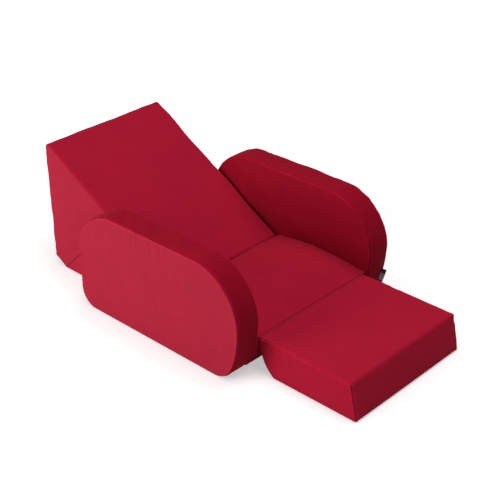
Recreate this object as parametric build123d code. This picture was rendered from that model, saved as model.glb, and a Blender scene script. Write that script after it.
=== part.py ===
from build123d import *
import math
import os

# A child's folding foam armchair, opened out as a recliner.
# X is the width, Y runs from the leg rest (minus) to the back (plus), Z is up, all in millimetres.
# The origin is on the floor at the middle of the overall length and width.

# Lengths along the chair, from hinge to hinge
LEG_REST_LENGTH = 224.0
SEAT_LENGTH = 228.5
BACK_REACH = 346.5

# The three foam blocks
BLOCK_HEIGHT = 73.0
LEG_REST_WIDTH = 300.0
BACK_WIDTH = 298.0
END_LEAN = 16.0
HEEL_UNDERCUT = 34.0
BACK_ANGLE = 30.0
BACK_FOOT_RISE = 19.5
BACK_FOOT_REACH = 31.0

# The arms
SEAT_OPENING = 316.0
ARM_THICKNESS = 53.0
ARM_HEIGHT = 217.0
ARM_LENGTH = 418.5
ARM_LEAD = 6.75
ARM_FRONT_RADIUS = 107.0
ARM_REAR_RADIUS = 100.0
ARM_HEEL_RADIUS = 46.0
ARM_TOE_UNDERCUT = 30.5
ARM_CROWN = 2.5
ARM_SWELL_MARGIN = 30.0

# Foam crowns under the covers
SEAT_CROWN = 6.5
LEG_REST_CROWN = 1.0
LEG_REST_END_CROWN = 1.5
BACK_CROWN = 5.0
BACK_REAR_CROWN = 1.5
CROWN_MARGIN = 7.0

# Covers and edges
COVER = 1.5
RIM_RADIUS = 4.0
CORNER_RADIUS = 4.0

# Fabric hinges at the top edges
HINGE_TAPE = 1.2
HINGE_TAPE_DEPTH = 20.0
HEEL_TAPE_DEPTH = 9.0
HINGE_TAPE_INSET = 12.0
HINGE_CLEARANCE = 0.4
LEG_HINGE_LIFT = 4.0

# Hook-and-loop strips between the arms and the seat
STRIP_THICKNESS = 1.5
STRIP_LENGTH = 180.0
STRIP_HEIGHT = 38.0

# Zips
ZIP_POCKET = 5.4
ZIP_TAPE_WIDTH = 24.0
ZIP_TAPE = 0.8
TOOTH_PITCH = 5.0
TOOTH_LENGTH = 1.9
TOOTH_OVERLAP = 0.7
CHAIN_WIDTH = 4.8
CHAIN_HEIGHT = 1.3
STOP_LENGTH = 3.0
SLIDER_LENGTH = 10.0
SLIDER_WIDTH = 8.0
SLIDER_WAIST = 5.8
SLIDER_WALL = 0.9
SLIDER_CLEARANCE = 0.25
BAIL_LENGTH = 6.0
BAIL_WIDTH = 1.4
BAIL_BAR = 0.6
PULL_LENGTH = 16.0
PULL_WIDTH = 4.6
PULL_THICKNESS = 0.7
PULL_EYE_LENGTH = 3.4
PULL_EYE_WIDTH = 2.0
PULL_CLEARANCE = 0.2
ARM_ZIP_MARGIN = 50.0
SEAT_ZIP_MARGIN = 45.0
LEG_REST_ZIP_MARGIN = 40.0
BACK_ZIP_MARGIN = 34.0
SEAT_ZIP_INSET = 30.0
BACK_ZIP_RISE = 24.0
LEG_REST_ZIP_INSET = 30.0

# The small tag in the left arm's front seam
TAG_BOTTOM = 28.0
TAG_TOP = 64.0
TAG_REACH = 12.0
TAG_THICKNESS = 1.2

# Places worked out from the sizes
OVERALL_LENGTH = LEG_REST_LENGTH + SEAT_LENGTH + BACK_REACH
FRONT_Y = -OVERALL_LENGTH / 2
REAR_Y = OVERALL_LENGTH / 2
LEG_HINGE_Y = FRONT_Y + LEG_REST_LENGTH
BACK_HINGE_Y = LEG_HINGE_Y + SEAT_LENGTH
HINGE_GAP = HINGE_TAPE + HINGE_CLEARANCE
ARM_INNER_X = SEAT_OPENING / 2
ARM_OUTER_X = ARM_INNER_X + ARM_THICKNESS
SEAT_WIDTH = SEAT_OPENING - 4 * STRIP_THICKNESS
ARM_FRONT_Y = LEG_HINGE_Y - ARM_LEAD
ARM_REAR_Y = ARM_FRONT_Y + ARM_LENGTH
ARM_SOLE = ARM_LENGTH - ARM_TOE_UNDERCUT - ARM_HEEL_RADIUS
ARM_ZIP_LENGTH = ARM_SOLE - 2 * ARM_ZIP_MARGIN
SEAT_ZIP_LENGTH = SEAT_WIDTH - 2 * SEAT_ZIP_MARGIN
LEG_REST_ZIP_LENGTH = LEG_REST_WIDTH - 2 * LEG_REST_ZIP_MARGIN
BACK_ZIP_LENGTH = BACK_WIDTH - 2 * BACK_ZIP_MARGIN

# Corners of the blocks' side profiles, as (Y, Z)
END_ANGLE = math.atan2(BLOCK_HEIGHT, END_LEAN)
NOSE = CORNER_RADIUS * (1 / math.tan(END_ANGLE / 2) - 1)
BACK_SLOPE = math.tan(math.radians(BACK_ANGLE))
LEG_REST_TOE = (FRONT_Y - NOSE, 0)
LEG_REST_BROW = (FRONT_Y - NOSE + END_LEAN, BLOCK_HEIGHT)
BACK_LAP = (BACK_HINGE_Y + HINGE_GAP, BLOCK_HEIGHT + HINGE_GAP * BACK_SLOPE)
BACK_TOP = (REAR_Y - BACK_REAR_CROWN, BLOCK_HEIGHT + (BACK_REACH - BACK_REAR_CROWN) * BACK_SLOPE)

# Where each zip lies: its middle on the cover, the way it runs and the way it faces
ARM_ZIP = Plane(
    origin=((ARM_INNER_X + ARM_OUTER_X) / 2, ARM_FRONT_Y + ARM_TOE_UNDERCUT + ARM_SOLE / 2, 0),
    x_dir=(0, 1, 0),
    z_dir=(0, 0, -1),
)
SEAT_ZIP = Plane(origin=(0, BACK_HINGE_Y - SEAT_ZIP_INSET, 0), x_dir=(1, 0, 0), z_dir=(0, 0, -1))
BACK_ZIP = Plane(
    origin=(0, BACK_TOP[0], BACK_FOOT_RISE + BACK_ZIP_RISE),
    x_dir=(1, 0, 0),
    z_dir=(0, 1, 0),
)
LEG_REST_ZIP = Plane(
    origin=(0, FRONT_Y + LEG_REST_ZIP_INSET, 0),
    x_dir=(1, 0, 0),
    z_dir=(0, 0, -1),
)


def point_plane(start, end):
    """The plane on a profile edge from start to end, facing out of an anticlockwise (Y, Z) outline."""
    reach = (end[0] - start[0], end[1] - start[1])
    size = math.hypot(*reach)
    middle = ((start[0] + end[0]) / 2, (start[1] + end[1]) / 2)
    normal = (0, reach[1] / size, -reach[0] / size)
    return Plane(origin=(0, *middle), x_dir=(1, 0, 0), z_dir=normal), size


def leg_rest_profile():
    """The leg rest from the side: a leaning front end and a heel that curves in under the hinge."""
    rear = LEG_HINGE_Y - HINGE_GAP
    radius = (BLOCK_HEIGHT**2 + HEEL_UNDERCUT**2) / (2 * HEEL_UNDERCUT)
    sweep = math.degrees(math.asin(BLOCK_HEIGHT / radius))
    heel = CenterArc((rear - radius, BLOCK_HEIGHT), radius, 0, -sweep)
    front = Polyline(heel @ 1, LEG_REST_TOE, LEG_REST_BROW, heel @ 0)
    face = make_face([*heel.edges(), *front.edges()])
    corners = [v for v in face.vertices() if v.X < rear - 1]
    return fillet(corners, CORNER_RADIUS)


def seat_profile():
    """The seat block from the side, with square hinge edges."""
    length = SEAT_LENGTH - 2 * HINGE_GAP
    middle = LEG_HINGE_Y + SEAT_LENGTH / 2
    return Pos(middle, BLOCK_HEIGHT / 2) * Rectangle(length, BLOCK_HEIGHT)


def back_profile():
    """The back wedge from the side: the slope starts at the hinge, and the rear foot is cut off."""
    foot = (BACK_TOP[0] - BACK_FOOT_REACH, 0)
    ankle = (BACK_TOP[0], BACK_FOOT_RISE)
    toe = (BACK_LAP[0], 0)
    face = make_face(Polyline(toe, foot, ankle, BACK_TOP, BACK_LAP, close=True).edges())
    corners = [v for v in face.vertices() if v.X > BACK_LAP[0] + 1]
    return fillet(corners, CORNER_RADIUS)


def arm_profile():
    """An arm from the side: a D with a large round front and rear, cut in at the toe."""
    waist = ARM_HEIGHT - ARM_FRONT_RADIUS
    toe_radius = (waist**2 + ARM_TOE_UNDERCUT**2) / (2 * ARM_TOE_UNDERCUT)
    toe_sweep = math.degrees(math.asin(waist / toe_radius))
    shoulder_z = ARM_HEIGHT - ARM_REAR_RADIUS
    front_top = CenterArc((ARM_FRONT_Y + ARM_FRONT_RADIUS, waist), ARM_FRONT_RADIUS, 90, 90)
    toe = CenterArc((ARM_FRONT_Y + toe_radius, waist), toe_radius, 180, toe_sweep)
    heel = CenterArc((ARM_REAR_Y - ARM_HEEL_RADIUS, ARM_HEEL_RADIUS), ARM_HEEL_RADIUS, -90, 90)
    shoulder = CenterArc((ARM_REAR_Y - ARM_REAR_RADIUS, shoulder_z), ARM_REAR_RADIUS, 0, 90)
    sole = Line(toe @ 1, heel @ 0)
    rear = Line(heel @ 1, shoulder @ 0)
    top = Line(shoulder @ 1, front_top @ 0)
    return make_face([c.edge() for c in (front_top, toe, sole, heel, rear, shoulder, top)])


def crown(plane, width, length, rise):
    """A low pillow on a rectangle centred on the plane, thin at its edges."""
    grid = [
        [(i * width / 2, j * length / 2, 4 * rise if i == j == 0 else 0) for j in (-1, 0, 1)]
        for i in (-1, 0, 1)
    ]
    top = Face.make_bezier_surface(grid)
    return plane * Solid(Shell([top, Face.make_rect(width, length)]))


def inner(profile, inset):
    """The profile drawn in by the cover's thickness, or as it is."""
    return offset(profile, -inset, kind=Kind.INTERSECTION) if inset else profile


def soften(slab):
    """Rounds the rims of a slab's two sides, as a tight cover does over square-cut foam."""
    return fillet(slab.faces().filter_by(Axis.X).edges(), RIM_RADIUS)


def block(profile, width, edges, inset):
    """A block across the width with a crown on each edge's face; its cover is inset 0, its foam more."""
    body = extrude(Plane.YZ * inner(profile, inset), width / 2 - inset, both=True)
    body = body if inset else soften(body)
    for start, end, rise in edges:
        plane, size = point_plane(start, end)
        pad_width = width - 2 * CROWN_MARGIN
        body += crown(plane.offset(-inset), pad_width, size - 2 * CROWN_MARGIN, rise)
    return body


def arm_block(inset):
    """The left arm, cover or foam: a D-shaped slab whose outer side swells slightly."""
    thickness = ARM_THICKNESS - ARM_CROWN - 2 * inset
    slab = extrude(Plane.YZ * inner(arm_profile(), inset), thickness)
    slab = Pos(ARM_INNER_X + inset, 0, 0) * slab
    slab = slab if inset else soften(slab)
    middle = (ARM_OUTER_X - ARM_CROWN - inset, ARM_FRONT_Y + ARM_LENGTH / 2, ARM_HEIGHT / 2)
    side = Plane(origin=middle, x_dir=(0, 1, 0), z_dir=(1, 0, 0))
    swell_length = ARM_LENGTH - 2 * ARM_SWELL_MARGIN
    return slab + crown(side, swell_length, ARM_HEIGHT - 2 * ARM_SWELL_MARGIN, ARM_CROWN)


def between(low, high):
    """All space between two X positions, as wide and deep as the chair."""
    size = 3 * OVERALL_LENGTH
    return Pos((low + high) / 2, 0, 0) * Box(high - low, size, size)


def cover(outer, core, low_seam, high_seam):
    """The cover of a block cut at its two seams: low side panel, band and high side panel."""
    shell = outer - core
    far = OVERALL_LENGTH
    return (
        shell & between(-far, low_seam),
        shell & between(low_seam, high_seam),
        shell & between(high_seam, far),
    )


def zip_pocket(plane, length):
    """The long pocket that a zip lies in, open to the outside."""
    depth = ZIP_POCKET + RIM_RADIUS
    middle = plane * Pos(0, 0, depth / 2 - ZIP_POCKET)
    return middle * Box(length, ZIP_TAPE_WIDTH, depth)


def zip_chain(plane, length):
    """A closed zip: its tape on the pocket's floor, two rows of meshed teeth and a stop at each end."""
    floor = plane * Pos(0, 0, -ZIP_POCKET)
    tape = floor * Pos(0, 0, ZIP_TAPE / 2) * Box(length, ZIP_TAPE_WIDTH, ZIP_TAPE)
    height = ZIP_TAPE + CHAIN_HEIGHT / 2
    tooth_width = (CHAIN_WIDTH + TOOTH_OVERLAP) / 2
    run = length - 2 * (STOP_LENGTH + TOOTH_PITCH)
    count = int(run / TOOTH_PITCH) + 1
    teeth = []
    for i in range(count):
        along = (i - (count - 1) / 2) * TOOTH_PITCH
        for side in (-1, 1):
            place = (along + side * TOOTH_PITCH / 4, side * (CHAIN_WIDTH - tooth_width) / 2, height)
            teeth.append(floor * Pos(*place) * Box(TOOTH_LENGTH, tooth_width, CHAIN_HEIGHT))
    for end in (-1, 1):
        place = (end * (length - STOP_LENGTH) / 2, 0, height)
        teeth.append(floor * Pos(*place) * Box(STOP_LENGTH, CHAIN_WIDTH, CHAIN_HEIGHT))
    return tape + teeth


def zip_slider(plane, length):
    """A zip's slider by its starting stop: a waisted saddle, its bail, and a pull that hangs in the bail."""
    start = -length / 2 + STOP_LENGTH + SLIDER_LENGTH / 2
    seat = plane * Pos(start, 0, ZIP_TAPE - ZIP_POCKET)
    room = CHAIN_HEIGHT + SLIDER_CLEARANCE
    top = room + SLIDER_WALL
    shoulder = SLIDER_LENGTH / 2
    outline = Polyline(
        (-shoulder, -SLIDER_WIDTH / 2),
        (0, -SLIDER_WIDTH / 2),
        (shoulder, -SLIDER_WAIST / 2),
        (shoulder, SLIDER_WAIST / 2),
        (0, SLIDER_WIDTH / 2),
        (-shoulder, SLIDER_WIDTH / 2),
        close=True,
    )
    saddle = Pos(0, 0, SLIDER_CLEARANCE) * extrude(make_face(outline.edges()), top - SLIDER_CLEARANCE)
    groove_width = CHAIN_WIDTH + 2 * SLIDER_CLEARANCE
    saddle -= Pos(0, 0, room / 2) * Box(2 * SLIDER_LENGTH, groove_width, room)
    bail_room = PULL_THICKNESS + 2 * PULL_CLEARANCE
    bail = Pos(0, 0, top + (bail_room + BAIL_BAR) / 2) * Box(BAIL_LENGTH, BAIL_WIDTH, bail_room + BAIL_BAR)
    eye_room = BAIL_LENGTH - 2 * BAIL_WIDTH
    bail -= Pos(0, 0, top + bail_room / 2) * Box(eye_room, 2 * BAIL_WIDTH, bail_room)
    hang = BAIL_LENGTH / 2 - BAIL_WIDTH / 2
    eye = Pos(hang, 0) * SlotOverall(PULL_EYE_LENGTH, PULL_EYE_WIDTH)
    head = hang - PULL_EYE_LENGTH / 2 - PULL_CLEARANCE - BAIL_BAR
    plate = Pos(head + PULL_LENGTH / 2, 0) * SlotOverall(PULL_LENGTH, PULL_WIDTH)
    pull = Pos(0, 0, top + PULL_CLEARANCE) * extrude(plate - eye, PULL_THICKNESS)
    return seat * Compound([*(saddle + bail).solids(), *pull.solids()])


def hinge_tape(face_y, side, depth, top):
    """A fabric tape that hangs down a block's hinge face, on its plus or minus Y side."""
    width = LEG_REST_WIDTH - 2 * HINGE_TAPE_INSET
    return Pos(0, face_y + side * HINGE_TAPE / 2, top - depth / 2) * Box(width, HINGE_TAPE, depth)


def strip(low_x):
    """Half of a hook-and-loop pair on the left side of the seat, from low_x outwards."""
    middle = LEG_HINGE_Y + SEAT_LENGTH / 2
    size = (STRIP_THICKNESS, STRIP_LENGTH, STRIP_HEIGHT)
    return Pos(low_x + STRIP_THICKNESS / 2, middle, BLOCK_HEIGHT / 2) * Box(*size)


def arm_tag():
    """The folded tag that stands out of the left arm's front seam."""
    front = offset(arm_profile(), TAG_REACH, kind=Kind.INTERSECTION) - arm_profile()
    height = TAG_TOP - TAG_BOTTOM
    window = Pos(ARM_FRONT_Y, TAG_BOTTOM + height / 2) * Rectangle(ARM_FRONT_RADIUS, height)
    root = ARM_OUTER_X - ARM_CROWN - RIM_RADIUS - TAG_THICKNESS
    return Pos(root, 0, 0) * extrude(Plane.YZ * (front & window), TAG_THICKNESS)


def save(name, shape):
    """Writes one piece to its own file and prints its size."""
    export_step(shape, f"parts/{name}.step")
    print(name, len(shape.solids()), "solid", round(shape.volume), "mm3")


def save_covered(name, outer, core, seams, zip_plane, zip_length, panels):
    """Writes a block's foam, its cover and its zip."""
    pocket = zip_pocket(zip_plane, zip_length)
    low, band, high = cover(outer, core, *seams)
    save(f"{name}_foam", core - pocket)
    save(f"{name}_{panels[0]}", low - pocket)
    save(f"{name}_band", band - pocket)
    save(f"{name}_{panels[1]}", high - pocket)
    save(f"{name}_zip", zip_chain(zip_plane, zip_length))
    save(f"{name}_zip_slider", zip_slider(zip_plane, zip_length))


def save_block(name, profile, width, edges, zip_plane, zip_length):
    """Writes one of the three blocks between the arms."""
    outer = block(profile, width, edges, 0)
    core = block(profile, width, edges, COVER)
    seams = (COVER - width / 2, width / 2 - COVER)
    save_covered(name, outer, core, seams, zip_plane, zip_length, ("right_panel", "left_panel"))


def flip(shape):
    """The same piece on the other side of the chair."""
    return mirror(shape, Plane.YZ)


def save_arms():
    """Writes both arms, the left one as modelled and the right one mirrored."""
    outer = arm_block(0)
    core = arm_block(COVER)
    seams = (ARM_INNER_X + COVER, ARM_OUTER_X - ARM_CROWN - COVER)
    pocket = zip_pocket(ARM_ZIP, ARM_ZIP_LENGTH)
    inner_panel, band, outer_panel = cover(outer, core, *seams)
    pieces = {
        "foam": core - pocket,
        "inner_panel": inner_panel,
        "band": band - pocket,
        "outer_panel": outer_panel,
        "zip": zip_chain(ARM_ZIP, ARM_ZIP_LENGTH),
        "zip_slider": zip_slider(ARM_ZIP, ARM_ZIP_LENGTH),
        "hook_strip": strip(ARM_INNER_X - STRIP_THICKNESS),
    }
    for name, piece in pieces.items():
        save(f"arm_left_{name}", piece)
        save(f"arm_right_{name}", flip(piece))
    save("arm_left_tag", arm_tag())


os.makedirs("parts", exist_ok=True)

save_block(
    "leg_rest",
    leg_rest_profile(),
    LEG_REST_WIDTH,
    [
        ((LEG_HINGE_Y - HINGE_GAP, BLOCK_HEIGHT), LEG_REST_BROW, LEG_REST_CROWN),
        (LEG_REST_BROW, LEG_REST_TOE, LEG_REST_END_CROWN),
    ],
    LEG_REST_ZIP,
    LEG_REST_ZIP_LENGTH,
)
save_block(
    "seat",
    seat_profile(),
    SEAT_WIDTH,
    [((BACK_HINGE_Y - HINGE_GAP, BLOCK_HEIGHT), (LEG_HINGE_Y + HINGE_GAP, BLOCK_HEIGHT), SEAT_CROWN)],
    SEAT_ZIP,
    SEAT_ZIP_LENGTH,
)
save_block(
    "back",
    back_profile(),
    BACK_WIDTH,
    [
        (BACK_TOP, BACK_LAP, BACK_CROWN),
        ((BACK_TOP[0], BACK_FOOT_RISE), BACK_TOP, BACK_REAR_CROWN),
    ],
    BACK_ZIP,
    BACK_ZIP_LENGTH,
)
save_arms()

save("seat_left_loop_strip", strip(SEAT_WIDTH / 2))
save("seat_right_loop_strip", flip(strip(SEAT_WIDTH / 2)))

leg_tape_top = BLOCK_HEIGHT + LEG_HINGE_LIFT - HINGE_CLEARANCE
save("leg_rest_hinge_tape", hinge_tape(LEG_HINGE_Y - HINGE_GAP, 1, HEEL_TAPE_DEPTH, leg_tape_top))
save("seat_front_hinge_tape", hinge_tape(LEG_HINGE_Y + HINGE_GAP, -1, HINGE_TAPE_DEPTH, leg_tape_top))
save("seat_rear_hinge_tape", hinge_tape(BACK_HINGE_Y - HINGE_GAP, 1, HINGE_TAPE_DEPTH, BLOCK_HEIGHT))
save("back_hinge_tape", hinge_tape(BACK_HINGE_Y + HINGE_GAP, -1, HINGE_TAPE_DEPTH, BLOCK_HEIGHT))
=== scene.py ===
# %% [markdown]
# A small folding foam armchair, opened out as a recliner.
# The real chair is five blocks of foam, each in a sewn crimson cover: two arms, a seat, a leg rest and a
# back. The construction model gives every size, joint and hidden piece. This script dresses it: each cover is
# one closed surface on a grid, with its seams, its soft crown and the small pulls that sewing leaves.

# %% Load the frame
import bpy
import math
import numpy as np
from mathutils import Matrix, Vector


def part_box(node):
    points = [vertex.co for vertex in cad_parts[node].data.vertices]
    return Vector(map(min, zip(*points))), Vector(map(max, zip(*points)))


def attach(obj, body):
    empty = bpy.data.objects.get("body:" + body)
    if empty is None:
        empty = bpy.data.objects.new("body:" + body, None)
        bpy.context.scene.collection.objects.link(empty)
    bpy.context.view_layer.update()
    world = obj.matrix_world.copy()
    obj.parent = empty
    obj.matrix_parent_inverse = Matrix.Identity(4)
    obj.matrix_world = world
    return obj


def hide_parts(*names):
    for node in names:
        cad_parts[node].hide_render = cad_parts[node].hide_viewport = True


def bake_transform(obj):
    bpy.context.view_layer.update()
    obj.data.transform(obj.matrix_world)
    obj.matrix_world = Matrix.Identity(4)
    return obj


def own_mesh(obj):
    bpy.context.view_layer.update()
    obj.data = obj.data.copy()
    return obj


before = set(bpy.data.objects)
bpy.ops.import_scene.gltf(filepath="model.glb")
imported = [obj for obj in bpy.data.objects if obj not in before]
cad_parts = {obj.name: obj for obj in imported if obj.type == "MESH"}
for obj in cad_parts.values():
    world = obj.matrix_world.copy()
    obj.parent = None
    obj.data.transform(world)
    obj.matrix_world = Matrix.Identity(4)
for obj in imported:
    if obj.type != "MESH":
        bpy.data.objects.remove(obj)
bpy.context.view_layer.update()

# %% [markdown]
# The camera stands where the photograph was taken from: off the chair's right front and above it, looking
# down across the near arm. A long lens keeps the blocks' edges nearly parallel, as they are in the picture.

# %% Camera
CAMERA_PLACE = (-1.4397, -1.3578, 1.2408)
CAMERA_AZIMUTH = math.radians(46.93)
CAMERA_ELEVATION = math.radians(29.40)
CAMERA_ROLL = math.radians(0.1)
LENS_MM = 85.9

camera_data = bpy.data.cameras.new("camera")
camera_data.lens = LENS_MM
camera = bpy.data.objects.new("camera", camera_data)
camera.location = CAMERA_PLACE
camera.rotation_euler = (math.pi / 2 - CAMERA_ELEVATION, CAMERA_ROLL, -CAMERA_AZIMUTH)
bpy.context.collection.objects.link(camera)
bpy.context.scene.camera = camera

# %% [markdown]
# The picture was lit by two large soft boxes, one on the chair's right and one overhead, and by almost
# nothing from the front, so that the faces on the right are bright and those at the front are dark.
# Area lamps as wide as the chair give the same soft edges to its shadows.

# %% Lamps
def soft_box(name, place, aim, size, watts):
    """A square area lamp at place that faces the point aim, both in metres."""
    data = bpy.data.lights.new(name, "AREA")
    data.shape = "SQUARE"
    data.size = size
    data.energy = watts
    lamp = bpy.data.objects.new(name, data)
    lamp.location = place
    away = np.array(aim) - np.array(place)
    turn = math.atan2(away[1], away[0]) - math.pi / 2
    tilt = math.atan2(math.hypot(away[0], away[1]), -away[2])
    lamp.rotation_euler = (tilt, 0.0, turn)
    bpy.context.collection.objects.link(lamp)


SKY = 0.12
soft_box("side_box", place=(-2.15, 0.85, 0.72), aim=(0.0, 0.0, 0.1), size=1.3, watts=37.5)
soft_box("top_box", place=(0.2, -0.3, 2.6), aim=(0.0, 0.0, 0.0), size=2.2, watts=48.0)

world = bpy.data.worlds.new("studio")
world.use_nodes = True
sky = world.node_tree.nodes["Background"]
sky.inputs["Color"].default_value = (1.0, 1.0, 1.0, 1.0)
sky.inputs["Strength"].default_value = SKY
bpy.context.scene.world = world
bpy.context.scene.view_settings.view_transform = "Standard"

# %% [markdown]
# Every material here is built from the same few moves: a node whose inputs are fed with plain values or with
# other nodes' outputs. Most helpers make one node and give back the output that the next node needs.

# %% Shader helpers
def feed(tree, socket, value):
    """Sets an input to a value, or links it to another node's output."""
    if isinstance(value, bpy.types.NodeSocket):
        tree.links.new(value, socket)
    elif value is not None:
        socket.default_value = value


def add_node(tree, kind, group_tree=None, **values):
    """A new node with its inputs fed by name, where a low line stands for a space."""
    node = tree.nodes.new("ShaderNode" + kind)
    if group_tree:
        node.node_tree = group_tree
    for label, value in values.items():
        feed(tree, node.inputs[label.replace("_", " ")], value)
    return node


def calc(tree, operation, *values):
    """A math node on values or sockets."""
    node = add_node(tree, "Math")
    node.operation = operation
    for socket, value in zip(node.inputs, values):
        feed(tree, socket, value)
    return node.outputs[0]


def vector_calc(tree, operation, first, second=None, scale=None):
    """A vector math node on values or sockets. A length comes out as a number, all else as a vector."""
    node = add_node(tree, "VectorMath")
    node.operation = operation
    feed(tree, node.inputs[0], first)
    feed(tree, node.inputs[1], second)
    if scale is not None:
        feed(tree, node.inputs["Scale"], scale)
    return node.outputs["Value"] if operation == "LENGTH" else node.outputs[0]


def mixed(tree, share, first, second):
    """A colour that goes from first where share is 0 to second where it is 1."""
    mix = add_node(tree, "Mix")
    mix.data_type = "RGBA"
    for label, value in (("Factor", share), ("A", first), ("B", second)):
        feed(tree, mix.inputs[label], value)
    return mix.outputs["Result"]


def speckle(tree, vector, scale, detail):
    """Noise between 0 and 1 over a vector."""
    return add_node(tree, "TexNoise", Vector=vector, Scale=scale, Detail=detail).outputs["Fac"]


def stored(tree, name):
    """The value that a mesh stores at each point under a name."""
    node = add_node(tree, "Attribute")
    node.attribute_name = name
    return node.outputs["Fac"]


def coordinates(tree, kind="Object"):
    """The object's own coordinates, or with "UV" those laid along its cloth."""
    return add_node(tree, "TexCoord").outputs[kind]


def separated(tree, vector):
    """A vector's parts, to be picked by the names X, Y and Z."""
    return add_node(tree, "SeparateXYZ", Vector=vector).outputs


def bump_into(tree, shader, height, strength, distance):
    """Feeds a shader's normal with the relief of a height."""
    relief = add_node(tree, "Bump", Height=height, Strength=strength, Distance=distance)
    feed(tree, shader["Normal"], relief.outputs["Normal"])


def new_material(name):
    """A material, its node tree and its Principled shader's inputs."""
    material = bpy.data.materials.new(name)
    material.use_nodes = True
    return material, material.node_tree, material.node_tree.nodes["Principled BSDF"].inputs


# %% [markdown]
# The studio floor and backdrop are one pale sweep that the camera sees as white. Its shader adds a little
# light of its own to what the camera sees, so the floor turns white while the chair's shadow stays on it.

# %% Floor
FLOOR_HALF = 9.0
FLOOR_PAINT = (0.76, 0.76, 0.76, 1.0)
FLOOR_GLOW = 0.48
GLOW_FADE_FROM, GLOW_FADE_TO = 0.50, 1.10

floor_mesh = bpy.data.meshes.new("studio_floor")
corners = [(-1, -1), (1, -1), (1, 1), (-1, 1)]
floor_mesh.from_pydata([(x * FLOOR_HALF, y * FLOOR_HALF, 0.0) for x, y in corners], [], [(0, 1, 2, 3)])
floor = bpy.data.objects.new("studio_floor", floor_mesh)
bpy.context.collection.objects.link(floor)

floor_material = bpy.data.materials.new("pale_floor")
floor_material.use_nodes = True
tree = floor_material.node_tree
tree.nodes.clear()
rays = add_node(tree, "LightPath").outputs
seen = calc(tree, "MAXIMUM", rays["Is Camera Ray"], rays["Is Glossy Ray"])
seen = calc(tree, "MAXIMUM", seen, rays["Is Transmission Ray"])
from_chair = vector_calc(tree, "LENGTH", coordinates(tree))
fade = add_node(tree, "MapRange", Value=from_chair, To_Min=FLOOR_GLOW, To_Max=1.0)
feed(tree, fade.inputs["From Min"], GLOW_FADE_FROM)
feed(tree, fade.inputs["From Max"], GLOW_FADE_TO)
fade.interpolation_type = "SMOOTHSTEP"
paint = add_node(tree, "BsdfDiffuse", Color=FLOOR_PAINT).outputs[0]
glow = add_node(tree, "Emission", Strength=fade.outputs["Result"]).outputs[0]
dark = add_node(tree, "Emission", Strength=0.0).outputs[0]
pick = add_node(tree, "MixShader")
both = add_node(tree, "AddShader")
for node, sources in ((pick, (seen, dark, glow)), (both, (paint, pick.outputs[0]))):
    for socket, source in zip(node.inputs, sources):
        feed(tree, socket, source)
add_node(tree, "OutputMaterial", Surface=both.outputs[0])
floor_mesh.materials.append(floor_material)
print("floor", 2 * FLOOR_HALF, "m across")

# %% [markdown]
# Every block is a slab: one outline seen from the side, carried across the width. The outline is a chain of
# straight runs and arcs, so each is sampled by its own short function and the pieces are joined end to end.
# Points go round anticlockwise as seen from the chair's left, and none is repeated.

# %% Outline helpers
STEP = 0.0032


def run(start, end, step=STEP):
    """Points on a straight run from start towards end, the end left out: start + t (end - start)."""
    start, end = np.array(start, float), np.array(end, float)
    count = max(1, round(float(np.linalg.norm(end - start)) / step))
    share = np.arange(count)[:, None] / count
    return start + share * (end - start)


def arc(centre, radius, start, sweep, step=STEP):
    """Points on an arc, the end left out: centre + radius (cos a, sin a), with angles in degrees."""
    count = max(2, round(radius * math.radians(abs(sweep)) / step))
    angle = np.radians(start + sweep * np.arange(count) / count)
    return np.array(centre) + radius * np.column_stack([np.cos(angle), np.sin(angle)])


def along_line(stops, z, wall):
    """A level line of points through each stop in y, with a close pair where a pocket's wall stands."""
    spots = []
    for y in stops:
        spots.extend([y - wall / 2, y + wall / 2] if y in stops[1:-1] else [y])
    pieces = [run((a, z), (b, z)) for a, b in zip(spots[:-1], spots[1:])]
    return np.vstack(pieces)


def rounded(corner, before, after, radius, step=0.0012):
    """A corner turned into an arc that touches both its lines."""
    corner, before, after = (np.array(p, float) for p in (corner, before, after))
    back = (before - corner) / np.linalg.norm(before - corner)
    ahead = (after - corner) / np.linalg.norm(after - corner)
    half = math.acos(float(np.clip(back @ ahead, -1, 1))) / 2
    centre = corner + (back + ahead) / np.linalg.norm(back + ahead) * radius / math.sin(half)
    first = corner + back * radius / math.tan(half)
    start = math.degrees(math.atan2(*(first - centre)[::-1]))
    return arc(centre, radius, start, 180 - math.degrees(2 * half), step)


# %% [markdown]
# The surface of a block runs from the middle of one side panel, out to its rim, over the rim, across the
# band, over the other rim and back in to the middle. Each stop on that way is a ring: the side outline, drawn
# in by some distance and shrunk towards its middle. The stacked rings are a grid, closed by two poles.

# %% The block surface
RIM = 0.0045
RIM_STEPS = 14
PANEL_RINGS = 26
RING_CROWDING = 1.25


def ring_plan(low, high, band_stops, step):
    """For each ring from the low side to the high: its x, its draw-in and its shrink.

    On a side panel x is fixed and the shrink goes from 1 at the pole to 0. Over the rim x and the draw-in
    follow a quarter circle. On the band the draw-in is 0 and x steps evenly, with the given extra stops."""
    shrink = np.linspace(1, 0, PANEL_RINGS) ** RING_CROWDING
    turn = np.linspace(0, math.pi / 2, RIM_STEPS + 1)[1:]
    rim_x, rim_in = RIM * (1 - np.cos(turn)), RIM * (1 - np.sin(turn))
    inside = [low + RIM, *band_stops, high - RIM]
    band = np.concatenate([run((a, 0), (b, 0), step)[:, 0] for a, b in zip(inside[:-1], inside[1:])])[1:]
    side, flat = np.ones(PANEL_RINGS), 0 * band
    x = np.concatenate([low * side, low + rim_x, band, (high - rim_x)[::-1], high * side])
    draw_in = np.concatenate([RIM * side, rim_in, flat, rim_in[::-1], RIM * side])
    shrink = np.concatenate([shrink, 0 * rim_in, flat, 0 * rim_in, shrink[::-1]])
    return x, draw_in, shrink


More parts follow.
